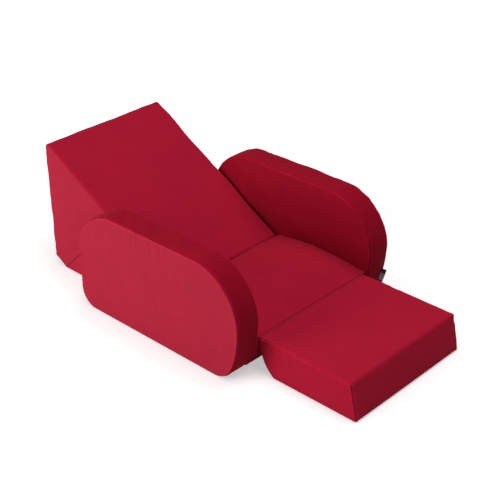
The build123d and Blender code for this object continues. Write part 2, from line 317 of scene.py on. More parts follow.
def outward(outline):
    """Unit normals of a closed anticlockwise outline in (y, z): the tangent turned a quarter clockwise."""
    tangent = np.roll(outline, -1, 0) - np.roll(outline, 1, 0)
    tangent /= np.linalg.norm(tangent, axis=1, keepdims=True)
    return np.column_stack([tangent[:, 1], -tangent[:, 0]])


def grid_normals(points):
    """Normals of the grid: the cross product of its two directions, with the poles pointing sideways."""
    around = np.roll(points, -1, 0) - np.roll(points, 1, 0)
    over = np.gradient(points, axis=1)
    normal = np.cross(around, over)
    normal /= np.maximum(np.linalg.norm(normal, axis=2, keepdims=True), 1e-12)
    normal[:, 0], normal[:, -1] = (-1, 0, 0), (1, 0, 0)
    return normal


class Block:
    """A block's grid of points and the measures that its seams, crowns and creases are worked out from."""

    def __init__(self, outline, middle, low, high, band_stops=(), step=STEP):
        self.outline, self.middle, self.low, self.high = outline, middle, low, high
        x, draw_in, shrink = ring_plan(low, high, band_stops, step)
        drawn = outline[:, None, :] - outward(outline)[:, None, :] * draw_in[None, :, None]
        flat = np.array(middle) + (1 - shrink)[None, :, None] * (drawn - np.array(middle))
        self.x = np.broadcast_to(x, flat.shape[:2])
        self.y, self.z = flat[..., 0], flat[..., 1]
        self.shrink = np.broadcast_to(shrink, flat.shape[:2])
        gaps = np.linalg.norm(np.roll(outline, -1, 0) - outline, axis=1)
        self.along = np.broadcast_to((np.cumsum(gaps) - gaps)[:, None], flat.shape[:2])
        self.length = float(gaps.sum())
        points = np.stack([self.x, self.y, self.z], -1)
        steps = np.linalg.norm(np.diff(points, axis=1), axis=2)
        across = np.concatenate([np.zeros((len(outline), 1)), np.cumsum(steps, 1)], 1)
        middle_of_rim = PANEL_RINGS + RIM_STEPS // 2
        low_seam = across - across[:, [middle_of_rim]]
        high_seam = across[:, [-1 - middle_of_rim]] - across
        self.seam = np.minimum(np.abs(low_seam), np.abs(high_seam))
        self.on_band = (low_seam > 0) & (high_seam > 0)
        self.points, self.normals = points, grid_normals(points)
        # 0.5 everywhere: no painted shade and no painted sheen until a block sets its own.
        self.tone = np.full(points.shape[:2], 0.5)


# %% [markdown]
# Real covers are never quite even. A slow swell, the gathers beside a seam and a single crease are each a
# field over the grid, in metres outwards, and fields are simply added up. The sines behind them have phases
# from a seeded generator, so the cloth comes out the same every time.

# %% Fields for cloth
def wander(values, wavelength, seed, waves=5):
    """A smooth random line through values, between about -1 and 1: a sum of sines of nearby wavelengths."""
    dice = np.random.default_rng(seed)
    lengths = wavelength * dice.uniform(0.6, 1.8, waves)
    phases = dice.uniform(0, 2 * math.pi, waves)
    total = sum(np.sin(2 * math.pi * values / size + phase) for size, phase in zip(lengths, phases))
    return total / math.sqrt(waves)


def ring_wander(block, pitch, seed, waves=7):
    """The same along a closed outline, with whole numbers of waves so that the end meets the start."""
    dice = np.random.default_rng(seed)
    counts = np.round(block.length / pitch * dice.uniform(0.6, 1.5, waves))
    phases = dice.uniform(0, 2 * math.pi, waves)
    turns = 2 * math.pi * block.along / block.length
    return sum(np.sin(count * turns + phase) for count, phase in zip(counts, phases)) / math.sqrt(waves)


def swell(block, wavelength, seed):
    """A smooth random field over the block, from three slanted wanders multiplied in pairs."""
    a = wander(block.x * 0.8 + block.y, wavelength, seed)
    b = wander(block.y * 0.6 - block.z + block.x * 0.5, wavelength, seed + 1)
    c = wander(block.z + block.x * 0.3 - block.y * 0.4, wavelength, seed + 2)
    return (a * b + b * c + c * a) / 2


def gathers(block, pitch, reach, seed):
    """Short ridges square to the seams that die away from them, in patches, and stay off the floor."""
    ridges = ring_wander(block, pitch, seed) + 0.4 * ring_wander(block, pitch / 2.3, seed + 1)
    patches = np.clip(0.35 + 0.8 * ring_wander(block, pitch * 9, seed + 2), 0, 1.3)
    return ridges * patches * np.exp(-block.seam / reach) * smooth_step(block.z, 0.008, 0.035)


def seam_ridge(block, height, width):
    """A plain seam: a narrow groove where two panels meet, and a low roll of cloth on each side of it."""
    d = block.seam / width
    return height * (1.25 * np.exp(-((d - 1.1) ** 2)) - 1.0 * np.exp(-((d * 1.8) ** 2)))


def smooth_step(value, low, high):
    """0 below low, 1 above high and a smooth S between."""
    t = np.clip((value - low) / (high - low), 0, 1)
    return t * t * (3 - 2 * t)


# %% [markdown]
# A grid of points becomes a mesh in one go: the quads come from index arithmetic, and the two poles are
# closed with fans of triangles. Cloth coordinates in metres go along, so that the weave can lie square to
# each panel: across and along on the band, level and upright on the side panels.

# %% Grid to mesh
# Where the painted highlight lies beside each seam, and how wide it is.
SEAM_HIGHLIGHT_PLACE = 0.0018
SEAM_HIGHLIGHT_WIDTH = 0.0014


def store(mesh, name, values):
    """Stores a value at each point of a mesh."""
    mesh.attributes.new(name, "FLOAT", "POINT").data.foreach_set("value", values)


def neighbours(count, width):
    """Each quad's first point and the same point one row on, in a grid that closes along its rows."""
    i, j = np.meshgrid(np.arange(count), np.arange(width - 1), indexing="ij")
    return i * width + j, ((i + 1) % count) * width + j


def block_mesh(name, block, points):
    """A closed mesh from a ring grid, with the cloth's own coordinates, a seam mask for a painted highlight,
    and painted shade and sheen by panel.
    """
    count, rings = points.shape[:2]
    inner = points[:, 1:-1].reshape(-1, 3)
    verts = np.vstack([inner, points[:1, 0], points[:1, -1]])
    width = rings - 2
    here, there = neighbours(count, width)
    quads = np.stack([here, there, there + 1, here + 1], -1).reshape(-1, 4)
    k = np.arange(count)
    after = (k + 1) % count
    low_fan = np.column_stack([np.full(count, len(inner)), after * width, k * width])
    top = width - 1
    high_fan = np.column_stack([np.full(count, len(inner) + 1), k * width + top, after * width + top])
    loops = np.concatenate([quads.ravel(), low_fan.ravel(), high_fan.ravel()])
    sizes = np.concatenate([np.full(len(quads), 4), np.full(2 * count, 3)])
    starts = np.concatenate([[0], np.cumsum(sizes)[:-1]])
    mesh = bpy.data.meshes.new(name)
    mesh.vertices.add(len(verts))
    mesh.vertices.foreach_set("co", verts.ravel())
    mesh.loops.add(len(loops))
    mesh.loops.foreach_set("vertex_index", loops)
    mesh.polygons.add(len(sizes))
    mesh.polygons.foreach_set("loop_start", starts)
    mesh.polygons.foreach_set("loop_total", sizes)
    mesh.update(calc_edges=True)
    # The seam mask: where a highlight is painted along the rims.
    seam_highlight_mask = np.exp(-(((block.seam[:, 1:-1] - SEAM_HIGHLIGHT_PLACE) / SEAM_HIGHLIGHT_WIDTH) ** 2)).ravel()
    store(mesh, "seam", np.concatenate([seam_highlight_mask, [0, 0]]))
    side = np.stack([block.y, block.z], -1)[:, 1:-1].reshape(-1, 2)
    strip = np.stack([block.x, block.along], -1)[:, 1:-1].reshape(-1, 2)
    quad_on_band = block.on_band[:, 1:-1].ravel()[quads].all(1)
    on_band = np.concatenate([quad_on_band.repeat(4), np.zeros(6 * count, bool)])
    safe = np.minimum(loops, len(inner) - 1)
    uv = np.where(on_band[:, None], strip[safe], side[safe])
    mesh.uv_layers.new(name="cloth").data.foreach_set("uv", uv.ravel())
    # Each point's painted light: below 0.5 painted shade, above 0.5 painted sheen.
    store(mesh, "tone", np.concatenate([block.tone[:, 1:-1].ravel(), block.tone[0, [0, -1]]]))
    mesh.shade_smooth()
    return mesh


def mirror_in_x(mesh):
    """Turns a left-hand mesh into a right-hand one, with its faces still outwards."""
    mesh.transform(Matrix.Diagonal((-1, 1, 1, 1)))
    mesh.flip_normals()


def place(name, mesh, material, body=None):
    """Puts a mesh in the scene with its material, riding on a body of the chair if one is named."""
    piece = bpy.data.objects.new(name, mesh)
    bpy.context.collection.objects.link(piece)
    mesh.materials.append(material)
    if body:
        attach(piece, body)
    return piece


# %% [markdown]
# The cover's cloth is a plain-woven cotton blend, dyed a deep crimson. Its shader is built from four effects
# that other cloths here share, so each is a node group: the weave, which also paints shade between threads,
# the uneven dye, the slubbed threads and the painted light on covers: a painted highlight along the seams,
# painted shade on some panels and painted sheen on others.

# %% Shader groups
FLOAT, VECTOR, COLOUR = "NodeSocketFloat", "NodeSocketVector", "NodeSocketColor"


def group(name, inputs, label, kind=FLOAT):
    """A new node group: its tree, what it is given and the socket for what it makes."""
    tree = bpy.data.node_groups.new(name, "ShaderNodeTree")
    for given, (given_kind, value) in inputs.items():
        socket = tree.interface.new_socket(given, in_out="INPUT", socket_type=given_kind)
        if value is not None:
            socket.default_value = value
    tree.interface.new_socket(label, in_out="OUTPUT", socket_type=kind)
    made = tree.nodes.new("NodeGroupOutput").inputs[label]
    return tree, tree.nodes.new("NodeGroupInput").outputs, made


def plain_weave():
    """Threads per metre in two directions: at each crossing the upper one stands up as half a sine."""
    inputs = {"Cloth": (VECTOR, None), "Threads": (FLOAT, 900.0)}
    tree, given, made = group("plain_weave", inputs, "Height")
    split = separated(tree, given["Cloth"])
    waves = []
    for axis in ("X", "Y"):
        turns = calc(tree, "MULTIPLY", split[axis], given["Threads"])
        waves.append(calc(tree, "SINE", calc(tree, "MULTIPLY", turns, math.pi)))
    warp, weft = (calc(tree, "ABSOLUTE", wave) for wave in waves)
    over = calc(tree, "GREATER_THAN", calc(tree, "MULTIPLY", *waves), 0.0)
    under = calc(tree, "SUBTRACT", 1.0, over)
    warp, weft = calc(tree, "MULTIPLY", warp, over), calc(tree, "MULTIPLY", weft, under)
    feed(tree, made, calc(tree, "ADD", warp, weft))
    return tree


def uneven_dye():
    """Cloudy and fibre-fine noise on the object's own coordinates, added up to a factor round 1."""
    inputs = {"Amount": (FLOAT, 0.1), "Cloud Scale": (FLOAT, 14.0)}
    tree, given, made = group("uneven_dye", inputs, "Factor")
    parts = []
    for scale, share, detail in ((1.0, 0.6, 3.0), (38.0, 0.4, 2.0)):
        size = calc(tree, "MULTIPLY", given["Cloud Scale"], scale)
        centred = calc(tree, "SUBTRACT", speckle(tree, coordinates(tree), size, detail), 0.5)
        parts.append(calc(tree, "MULTIPLY", centred, 2 * share))
    feed(tree, made, calc(tree, "MULTIPLY_ADD", calc(tree, "ADD", *parts), given["Amount"], 1.0))
    return tree


def slubbed_threads():
    """Threads that are thick in places: noise drawn out along one thread direction, then the other."""
    inputs = {"Cloth": (VECTOR, None), "Amount": (FLOAT, 0.05)}
    tree, given, made = group("slubbed_threads", inputs, "Factor")
    total = 1.0
    for stretch in ((420.0, 9.0, 1.0), (9.0, 420.0, 1.0)):
        drawn = vector_calc(tree, "MULTIPLY", given["Cloth"], stretch)
        centred = calc(tree, "SUBTRACT", speckle(tree, drawn, 1.0, 2.0), 0.5)
        total = calc(tree, "MULTIPLY_ADD", centred, given["Amount"], total)
    feed(tree, made, total)
    return tree


# Colour factors for painted shade, deeper, and for painted sheen, paler with a green and blue haze.
PAINTED_SHADE_FACTORS = (0.72, 0.30, 0.54)
PAINTED_SHEEN_FACTORS = (1.0, 2.2, 1.36)


def painted_shade_sheen_highlight():
    """A colour lightened where the seam mask is high, as a painted highlight, and shifted by the panel's
    painted light.

    A painted light of 0.5 leaves the colour as dyed. Towards 0 it grows deeper, as painted shade, and
    towards 1 it grows paler and hazier, as a painted sheen."""
    inputs = {"Color": (COLOUR, (0.5, 0.5, 0.5, 1)), "Gain": (FLOAT, 1.3)}
    tree, given, made = group("painted_shade_sheen_highlight", inputs, "Color", COLOUR)
    tone = stored(tree, "tone")
    colour = given["Color"]
    for factors, way in ((PAINTED_SHADE_FACTORS, -2.0), (PAINTED_SHEEN_FACTORS, 2.0)):
        share = calc(tree, "MULTIPLY", calc(tree, "SUBTRACT", tone, 0.5), way)
        share = calc(tree, "MINIMUM", calc(tree, "MAXIMUM", share, 0.0), 1.0)
        colour = mixed(tree, share, colour, vector_calc(tree, "MULTIPLY", colour, factors))
    extra = calc(tree, "SUBTRACT", given["Gain"], 1.0)
    seam_highlight_gain = calc(tree, "MULTIPLY_ADD", stored(tree, "seam"), extra, 1.0)
    feed(tree, made, vector_calc(tree, "SCALE", colour, scale=seam_highlight_gain))
    return tree


WEAVE = plain_weave()
DYE = uneven_dye()
# The group that paints light on the covers: seam highlight, panel shade and panel sheen.
PAINTED_LIGHT_GROUP = painted_shade_sheen_highlight()
SLUB = slubbed_threads()


# %% Cloth materials
def cloth(name, colour, threads, dye=0.1, seam_highlight_gain=1.0, bump=0.12, roughness=0.92, sheen=0.02, by_uv=True):
    """A woven cloth: dyed colour with painted shade between threads, painted light on covers, thread bump and
    a soft sheen.
    """
    material, tree, shader = new_material(name)
    lie = coordinates(tree, "UV" if by_uv else "Object")
    height = add_node(tree, "Group", WEAVE, Cloth=lie, Threads=threads).outputs["Height"]
    mottle = add_node(tree, "Group", DYE, Amount=dye).outputs["Factor"]
    slub = add_node(tree, "Group", SLUB, Cloth=lie, Amount=0.22).outputs["Factor"]
    # The weave's height darkens the colour in the hollows between threads, as painted shade; slubs vary it
    # too.
    thread_shade_and_slub = calc(tree, "MULTIPLY", calc(tree, "MULTIPLY_ADD", height, 0.12, 0.92), slub)
    finished = vector_calc(tree, "SCALE", colour, scale=calc(tree, "MULTIPLY", thread_shade_and_slub, mottle))
    # On covers the colour gets a painted highlight along the seams, and painted shade and sheen by panel.
    if by_uv:
        finished = add_node(tree, "Group", PAINTED_LIGHT_GROUP, Color=finished, Gain=seam_highlight_gain).outputs["Color"]
    feed(tree, shader["Base Color"], finished)
    feed(tree, shader["Roughness"], calc(tree, "MULTIPLY_ADD", mottle, 0.3, roughness - 0.3))
    bump_into(tree, shader, height, bump, 0.0004)
    shader["Sheen Weight"].default_value = sheen
    shader["Sheen Roughness"].default_value = 0.5
    shader["Specular IOR Level"].default_value = 0.05
    return material


CRIMSON = (0.435, 0.0088, 0.033)
# A gain of 1.12 paints a highlight along the cover's seams.
cover_cloth = cloth("crimson_cover_cloth", CRIMSON, 1100.0, seam_highlight_gain=1.12)
tape_cloth = cloth("hinge_tape_cloth", (0.36, 0.012, 0.036), 700.0, by_uv=False)
print("cloths", cover_cloth.name, tape_cloth.name)

# %% [markdown]
# A pillow's rise over a rectangle is the product of two humps, each one a power of a sine: it leaves the edge
# quickly, as foam does where a seam lets go of it, and is nearly flat in the middle. Creases are dents along
# a straight line that fade at both ends.

# %% Crowns and creases
def hump(value, low, high, power):
    """sin(pi t) ** power for t from 0 at low to 1 at high, and 0 outside."""
    t = np.clip((value - low) / (high - low), 0, 1)
    return np.sin(math.pi * t) ** power


def crease(block, start, end, depth, width):
    """A fold from start to end: a Gaussian dent across, deepest at its middle, in metres outwards."""
    start, end = np.array(start), np.array(end)
    reach = end - start
    share = np.clip(((block.points - start) @ reach) / (reach @ reach), 0, 1)
    away = np.linalg.norm(block.points - start - share[..., None] * reach, axis=-1)
    return -depth * np.sqrt(np.abs(np.sin(math.pi * share))) * np.exp(-((away / width) ** 2))


def facing(block, direction, spread=0.9):
    """1 where the surface faces a direction, 0 where it turns away: a smooth step of the dot product."""
    return smooth_step(block.normals @ np.array(direction, float), spread - 0.25, spread)


def both_sides(block):
    """1 on both side panels, 0 on the band."""
    return facing(block, (1, 0, 0)) + facing(block, (-1, 0, 0))


def dressed(block, field, pocket=None):
    """The block's points moved out along their normals by a field, a pocket let in, kept above the floor."""
    points = block.points + block.normals * field[..., None]
    if pocket is not None:
        centre, half, depth, way = pocket
        inside = (np.abs(block.points - np.array(centre)) <= np.array(half)).all(-1) & block.on_band
        points = np.where(inside[..., None], block.points - np.array(way) * depth, points)
    points[..., 2] = np.maximum(points[..., 2], 0.0)
    return points


# %% [markdown]
# The blocks share a thickness, two hinge lines and the way a zip is let into them. A pocket is given by its
# centre, the half sizes of what is let in, its depth and the way out of the block.

# %% Sizes shared by the blocks
HALF_LENGTH = 0.3995
LEG_HINGE_Y = -0.1755
BACK_HINGE_Y = 0.053
THICK = 0.073
HINGE_GAP = 0.0016
CORNER = 0.005
# Painted sheen on the side panels of the back and arms.
SIDE_PAINTED_SHEEN = 0.95
POCKET_HALF = 0.110
ZIP_HALF = 0.0125
ZIP_DEPTH = 0.0057
ZIP_INSET = 0.030
WALL = 0.0006
SNUG = 0.00005
LIP = 0.0002


def walls(half):
    """Where rings stand on the band at a pocket's two ends: a close pair at each."""
    return -half - WALL, -half, half, half + WALL


def sole_pocket(x, y, half_x, half_y):
    """The pocket of a zip in a sole."""
    return (x, y, 0.0), (half_x + SNUG, half_y - LIP, 0.002), ZIP_DEPTH, (0, 0, -1)


def end_arc(undercut):
    """Radius and sweep of an arc that is upright at a block's top and drawn in by undercut at its foot."""
    radius = (THICK**2 + undercut**2) / (2 * undercut)
    return radius, math.degrees(math.asin(THICK / radius))


def soft_piece(name, block, points, body, look, nodes, mirrored):
    """A soft closed piece worked out from a block, riding on its body in place of some solid nodes."""
    mesh = block_mesh(name, block, points)
    if mirrored:
        mirror_in_x(mesh)
    piece = place(name, mesh, look, body)
    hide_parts(*nodes)
    print(name, points.shape)


def sewn_cover(name, block, points, body, sides=("left", "right"), mirrored=False):
    """A block's cover in crimson cloth, in place of the plain band and side panels."""
    nodes = [f"{name}_band", *(f"{name}_{side}_panel" for side in sides)]
    soft_piece(f"{name}_cover", block, points, body, cover_cloth, nodes, mirrored)


# %% [markdown]
# The leg rest lies flat in front. Its far end leans back, and its heel curves in under the hinge, because it
# is this edge that lies foremost when the leg rest is folded over onto the seat.

# %% Leg rest
LEG_REST_HALF = 0.150
HEEL_UNDERCUT = 0.034
LEG_ZIP_Y = -HALF_LENGTH + ZIP_INSET


def leg_rest_outline():
    """Sole, heel arc, top and leaning end, with the zip's pocket edges as stops on the sole."""
    rear = LEG_HINGE_Y - HINGE_GAP
    radius, sweep = end_arc(HEEL_UNDERCUT)
    toe, brow = (-HALF_LENGTH - 0.001, 0.0), (-HALF_LENGTH + 0.015, THICK)
    end_low = rounded(toe, brow, (0.0, 0.0), CORNER)
    end_top = rounded(brow, (0.0, THICK), toe, CORNER)
    sole_start = end_low[-1] + (0.0004, 0)
    sole_stops = [sole_start[0], LEG_ZIP_Y - ZIP_HALF, LEG_ZIP_Y + ZIP_HALF, rear - HEEL_UNDERCUT]
    sole = along_line(sole_stops, 0.0, WALL)
    heel = arc((rear - radius, THICK), radius, -sweep, sweep)
    top = run((rear, THICK), end_top[0] + (0.0008, 0))
    end = run(end_top[-1], end_low[0])[1:]
    return np.vstack([sole, heel, top, end_top, end, end_low])


leg_rest = Block(leg_rest_outline(), (-0.29, 0.037), -LEG_REST_HALF, LEG_REST_HALF, walls(POCKET_HALF))
leg_rest_across = hump(leg_rest.x, -LEG_REST_HALF, LEG_REST_HALF, 0.4)
leg_rest_top = hump(leg_rest.y, -HALF_LENGTH + 0.014, LEG_HINGE_Y, 0.6) * leg_rest_across
leg_rest_front = hump(leg_rest.z, 0, THICK, 0.7) * leg_rest_across * facing(leg_rest, (0, -1, 0.2))
leg_rest_side = hump(leg_rest.shrink, -0.08, 1.9, 0.5) * both_sides(leg_rest)
leg_rest_field = (
    0.0030 * leg_rest_top * facing(leg_rest, (0, 0, 1))
    + 0.0022 * leg_rest_front
    + 0.0030 * leg_rest_side * smooth_step(leg_rest.z, 0.0, 0.02)
    + 0.0006 * swell(leg_rest, 0.09, 11) * smooth_step(leg_rest.z, 0.004, 0.03)
    + 0.0003 * gathers(leg_rest, 0.022, 0.010, 12)
    + seam_ridge(leg_rest, 0.0006, 0.0014)
    + crease(leg_rest, (0.024, -0.272, 0.076), (0.019, -0.356, 0.076), 0.0009, 0.005)
    + crease(leg_rest, (-0.09, -0.185, 0.075), (-0.03, -0.24, 0.076), 0.0007, 0.005)
    + crease(leg_rest, (0.09, -0.182, 0.075), (0.055, -0.225, 0.076), 0.0007, 0.004)
)
leg_rest_pocket = sole_pocket(0.0, LEG_ZIP_Y, POCKET_HALF, ZIP_HALF)
leg_rest_points = dressed(leg_rest, leg_rest_field, leg_rest_pocket)
sewn_cover("leg_rest", leg_rest, leg_rest_points, "leg_rest")

# %% [markdown]
# The seat is the block between the arms. Its own cover is square and firm, and the deep crown on top is made
# as a second piece, because that crown is what the folded leg rest presses flat.

# %% Seat
SEAT_HALF = 0.155
SEAT_TOP_HALF = 0.1578
SEAT_CROWN = 0.0255
SEAT_UNDERCUT = 0.028
SEAT_ZIP_Y = BACK_HINGE_Y - ZIP_INSET


def seat_outline():
    """Sole with the pocket's edges as stops, rear face, top, and a front face that curves in at the foot."""
    front, rear = LEG_HINGE_Y + HINGE_GAP, BACK_HINGE_Y - HINGE_GAP
    radius, sweep = end_arc(SEAT_UNDERCUT)
    sole_stops = [front + SEAT_UNDERCUT, SEAT_ZIP_Y - ZIP_HALF, SEAT_ZIP_Y + ZIP_HALF, rear]
    sole = along_line(sole_stops, 0.0, WALL)
    face = arc((front + radius, THICK), radius, 180, sweep)
    return np.vstack([sole, run((rear, 0.0), (rear, THICK)), run((rear, THICK), (front, THICK)), face])


seat = Block(seat_outline(), (-0.061, 0.036), -SEAT_HALF, SEAT_HALF, walls(POCKET_HALF))
seat_field = 0.0004 * swell(seat, 0.09, 21) * (facing(seat, (0, 0, 1)) + both_sides(seat))
seat_points = dressed(seat, seat_field, sole_pocket(0.0, SEAT_ZIP_Y, POCKET_HALF, ZIP_HALF))
sewn_cover("seat", seat, seat_points, "chair")


# %% Seat crown
def seat_crown():
    """A closed pillow on the seat's top: its upper sheet is the product of two humps, its lower one is flat.

    Columns run across the chair, rows from the front edge over the top to the rear edge and back."""
    columns = np.linspace(-1, 1, 120)
    x = np.sign(columns) * (1 - (1 - np.abs(columns)) ** 1.6) * SEAT_TOP_HALF
    front, rear = LEG_HINGE_Y + HINGE_GAP + 0.0006, BACK_HINGE_Y - HINGE_GAP - 0.0006
    t = np.linspace(0, 1, 110)
    y_line = front + (rear - front) * (t - 0.12 * np.sin(2 * math.pi * t) / math.pi)
    y = np.concatenate([y_line, y_line[-2:0:-1]])
    upper = np.arange(len(y)) < len(y_line)
    grid_x, grid_y = np.meshgrid(x, y)
    rise = hump(grid_y, front, rear, 0.9) * hump(grid_x, -SEAT_TOP_HALF, SEAT_TOP_HALF, 0.22)
    wrinkle = 1 + 0.035 * wander(grid_x + 0.4 * grid_y, 0.05, 31)
    wrinkle = wrinkle + 0.02 * wander(grid_y - 0.6 * grid_x, 0.03, 32)
    height = THICK + SEAT_CROWN * rise * wrinkle
    z = np.where(upper[:, None], height, THICK - 0.0012)
    return np.stack([grid_x, grid_y, z], -1)


def tube_mesh(name, points):
    """A mesh from a grid that closes along its first direction and is capped at both ends of the second."""
    count, width = points.shape[:2]
    here, there = neighbours(count, width)
    quads = np.stack([here, here + 1, there + 1, there], -1).reshape(-1, 4)
    loop = np.arange(count) * width
    faces = [*quads.tolist(), loop.tolist(), (loop[::-1] + width - 1).tolist()]
    mesh = bpy.data.meshes.new(name)
    mesh.from_pydata(points.reshape(-1, 3), [], faces)
    # 0.5: no painted shade and no painted sheen.
    store(mesh, "tone", np.full(points[..., 0].size, 0.5))
    uv = mesh.uv_layers.new(name="cloth")
    loops = np.zeros(len(mesh.loops), int)
    mesh.loops.foreach_get("vertex_index", loops)
    uv.data.foreach_set("uv", points.reshape(-1, 3)[loops, :2].ravel())
    mesh.shade_smooth()
    return mesh


seat_top = place("seat_top", tube_mesh("seat_top", seat_crown()), cover_cloth, "chair")
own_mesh(seat_top)
print("seat crown", SEAT_CROWN)

# %% [markdown]
# The back is a wedge: the slope rises from the hinge at thirty degrees to the tall rear face, and the rear
# foot is cut off so that the wedge can roll up onto it when the back is raised.

# %% Back
BACK_HALF = 0.1495
BACK_CROWN_HALF = 0.149
BACK_POCKET_HALF = 0.115
ANKLE_Z = 0.0195
BACK_ZIP_Z = ANKLE_Z + 0.024
BACK_REAR = HALF_LENGTH - 0.0015
BACK_SLOPE = math.tan(math.radians(30))
BACK_TOP = (BACK_REAR + 0.0035, THICK + (BACK_REAR - BACK_HINGE_Y) * BACK_SLOPE + 0.0040)


def back_outline():
    """Sole, cut foot, rear face with the zip's pocket, top corner, slope and the face at the hinge."""
    front = BACK_HINGE_Y + HINGE_GAP
    lap = (front, THICK + HINGE_GAP * BACK_SLOPE)
    foot, ankle = (BACK_REAR - 0.031, 0.0), (BACK_REAR, ANKLE_Z)
    foot_round = rounded(foot, (front, 0.0), ankle, CORNER)
    ankle_round = rounded(ankle, foot, BACK_TOP, CORNER)
    top_round = rounded(BACK_TOP, ankle, lap, 0.006)
    lips = (BACK_ZIP_Z - ZIP_HALF, BACK_ZIP_Z + ZIP_HALF)
    levels = [lip + way * WALL / 2 for lip in lips for way in (-1, 1)]
    stops = [ankle_round[-1] + (0, 0.0005), *((BACK_REAR, z) for z in levels), top_round[0]]
    up = [run(a, b) for a, b in zip(stops[:-1], stops[1:])]
    sole = run((front, 0.0), foot_round[0])
    cut = run(foot_round[-1], ankle_round[0])[1:]
    slope = run(top_round[-1], lap)[1:]
    face = run(lap, (front, 0.0))
    return np.vstack([sole, foot_round, cut, ankle_round, *up, top_round, slope, face])


back = Block(back_outline(), (0.27, 0.095), -BACK_HALF, BACK_HALF, walls(BACK_POCKET_HALF))
slope_way = (0, -0.5, 0.866)
back_share = (back.y - BACK_HINGE_Y) / (BACK_REAR - BACK_HINGE_Y)
back_across = hump(back.x, -BACK_CROWN_HALF, BACK_CROWN_HALF, 0.4)
back_unevenness = 0.0013 * swell(back, 0.11, 41) + 0.0004 * swell(back, 0.045, 47)
back_field = (
    0.0060 * hump(back_share, 0, 1, 0.6) * back_across * facing(back, slope_way)
    + 0.0012 * hump(back.z, 0.06, BACK_TOP[1], 0.6) * back_across * facing(back, (0, 1, 0))
    + 0.0034 * hump(back.shrink, -0.08, 1.9, 0.5) * both_sides(back) * smooth_step(back.z, 0.0, 0.03)
    + back_unevenness * smooth_step(back.z, 0.004, 0.04)
    + 0.0003 * gathers(back, 0.024, 0.011, 42)
    + seam_ridge(back, 0.0006, 0.0014)
    + crease(back, (-0.152, 0.352, 0.128), (-0.152, 0.205, 0.172), 0.0036, 0.008)
    + crease(back, (-0.152, 0.348, 0.098), (-0.152, 0.280, 0.122), 0.0030, 0.008)
    + crease(back, (0.152, 0.330, 0.120), (0.152, 0.215, 0.150), 0.0030, 0.008)
)
# The back's side panels get painted sheen, its band none.
back.tone = np.where(back.on_band, 0.5, SIDE_PAINTED_SHEEN)
back_pocket = (
    (0.0, BACK_REAR, BACK_ZIP_Z), (BACK_POCKET_HALF + SNUG, 0.002, ZIP_HALF - LIP), ZIP_DEPTH, (0, 1, 0)
)
back_points = dressed(back, back_field, back_pocket)
sewn_cover("back", back, back_points, "back")

# %% [markdown]
# The arms are a mirrored pair of D-shaped slabs. Their soles carry a zip along the middle, their toes curve
# in under the front, and their outer sides swell a little, held flat only near the seam.

# %% Arms
# Painted shade: full on the arms' bands, about half on their inner sides.
BAND_PAINTED_SHADE = 0.0
INNER_PAINTED_SHADE = 0.22
ARM_IN, ARM_OUT = 0.158, 0.211
ARM_FRONT, ARM_REAR = -0.18225, 0.23625
ARM_TALL = 0.217
ARM_HEEL = 0.036
ARM_TOE = 0.046
ARM_POCKET_HALF = 0.121
BELLY_Z, BELLY_ROUND = 0.110, 0.107
SHOULDER_Z, SHOULDER_ROUND = 0.117, 0.100
TOE_UNDERCUT = 0.0305
TOE_ARC = (BELLY_Z**2 + TOE_UNDERCUT**2) / (2 * TOE_UNDERCUT)
ZIP_X = (ARM_IN + ARM_OUT) / 2
ZIP_LOW, ZIP_HIGH = ARM_FRONT + TOE_UNDERCUT + 0.050, ARM_REAR - 0.046 - 0.050


def arm_outline():
    """Sole with the zip's ends as stops, heel, rear, shoulder, top, round front, toe arc and rounded toe.

    The toe's small arc touches the floor and the big arc from inside: the centres lie big - small apart."""
    big_y = ARM_FRONT + TOE_ARC
    toe_y = big_y - math.sqrt((TOE_ARC - ARM_TOE) ** 2 - (BELLY_Z - ARM_TOE) ** 2)
    turn = math.degrees(math.atan2(BELLY_Z - ARM_TOE, big_y - toe_y))
    heel_y = ARM_REAR - ARM_HEEL
    shoulder_y, belly_y = ARM_REAR - SHOULDER_ROUND, ARM_FRONT + BELLY_ROUND
    return np.vstack(
        [
            along_line([toe_y, ZIP_LOW, ZIP_HIGH, heel_y], 0.0, WALL),
            arc((heel_y, ARM_HEEL), ARM_HEEL, -90, 90),
            run((ARM_REAR, ARM_HEEL), (ARM_REAR, SHOULDER_Z)),
            arc((shoulder_y, SHOULDER_Z), SHOULDER_ROUND, 0, 90),
            run((shoulder_y, ARM_TALL), (belly_y, ARM_TALL)),
            arc((belly_y, BELLY_Z), BELLY_ROUND, 90, 90),
            arc((big_y, BELLY_Z), TOE_ARC, 180, turn),
            arc((toe_y, ARM_TOE), ARM_TOE, 180 + turn, 90 - turn),
        ]
    )


arm = Block(arm_outline(), (0.03, 0.105), ARM_IN, ARM_OUT, [ZIP_X + stop for stop in walls(ZIP_HALF)])


def arm_field(seed, puckers):
    """The cloth of one arm: swollen sides, a band that bulges between its seams, gathers and a slow swell."""
    side = hump(arm.shrink, -0.10, 1.9, 0.55)
    outer, inner = facing(arm, (1, 0, 0)), facing(arm, (-1, 0, 0))
    bulge = hump(arm.x, ARM_IN, ARM_OUT, 0.7) * arm.on_band * smooth_step(arm.z, 0.0, 0.04)
    unevenness = 0.0012 * swell(arm, 0.12, seed) + 0.0004 * swell(arm, 0.045, seed + 9)
    field = (
        0.0042 * side * outer
        + 0.0022 * side * inner * smooth_step(arm.z, 0.075, 0.12)
        + 0.0022 * bulge
        + unevenness * smooth_step(arm.z, 0.004, 0.04)
        + 0.0003 * gathers(arm, 0.024, 0.012, seed + 5)
        + seam_ridge(arm, 0.0007, 0.0014)
    )
    for y, z, depth in puckers:
        field += crease(arm, (ARM_OUT + 0.001, y, z), (ARM_OUT + 0.003, y - 0.003, z - 0.030), depth, 0.0030)
    return field


